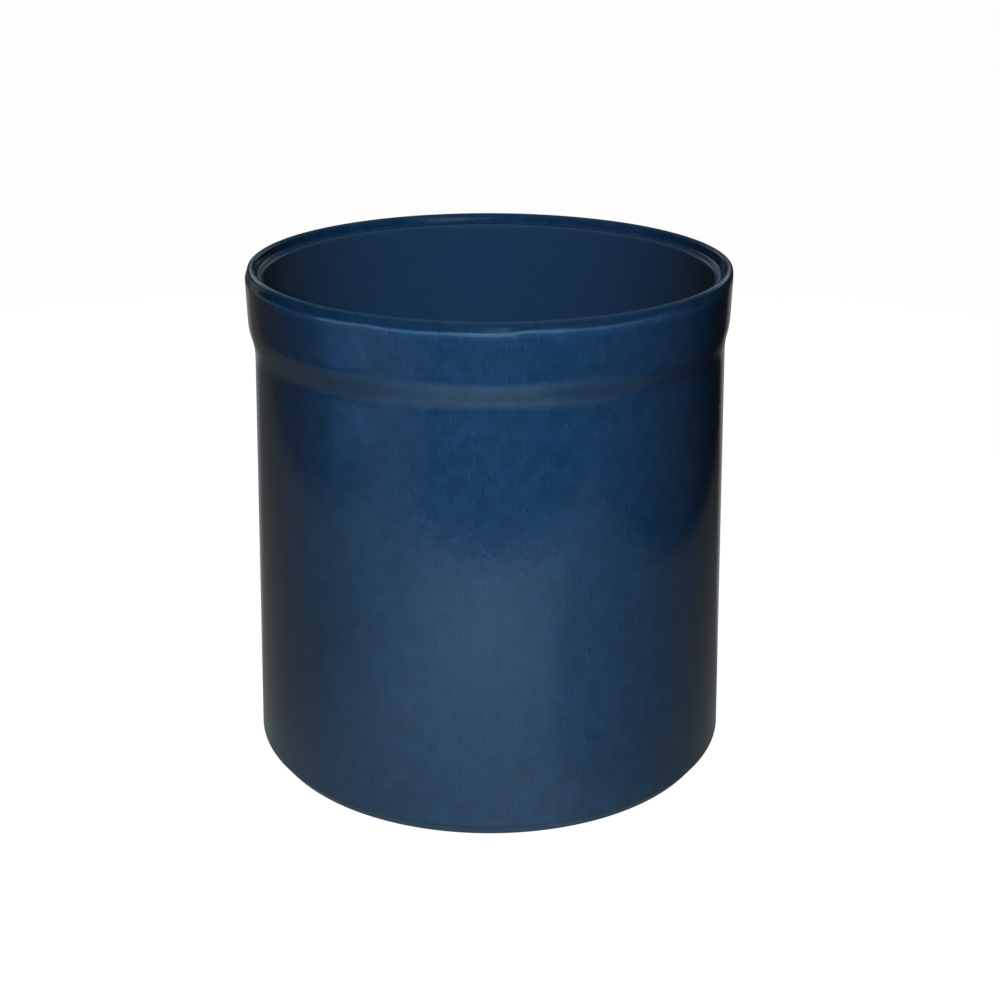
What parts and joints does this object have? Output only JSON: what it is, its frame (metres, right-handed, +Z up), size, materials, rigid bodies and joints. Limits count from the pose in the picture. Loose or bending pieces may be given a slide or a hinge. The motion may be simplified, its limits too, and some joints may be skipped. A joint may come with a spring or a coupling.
{
  "type": "preserving crock",
  "caption": "Open cylindrical stoneware crock with a thick rim collar, an inner ledge for a lid and a dark blue glaze, for salting and preserving food.",
  "frame": {"origin": "centre of the standing ring, on the plane that the crock stands on", "axes": "+Z up along the axis of the pot, through its open mouth; the pictured side faces -Y"},
  "size_m": [0.2084, 0.2084, 0.216],
  "materials": {
    "fired_stoneware": "unglazed, matt, fine grained",
    "glaze_outside": "glossy deep blue glaze with fine speckle",
    "glaze_inside": "glossy deep blue glaze, slightly hazy"
  },
  "bodies": {
    "root": {"clay_body": "fired_stoneware", "outer_glaze": "glaze_outside", "inner_glaze": "glaze_inside"}
  },
  "joints": []
}
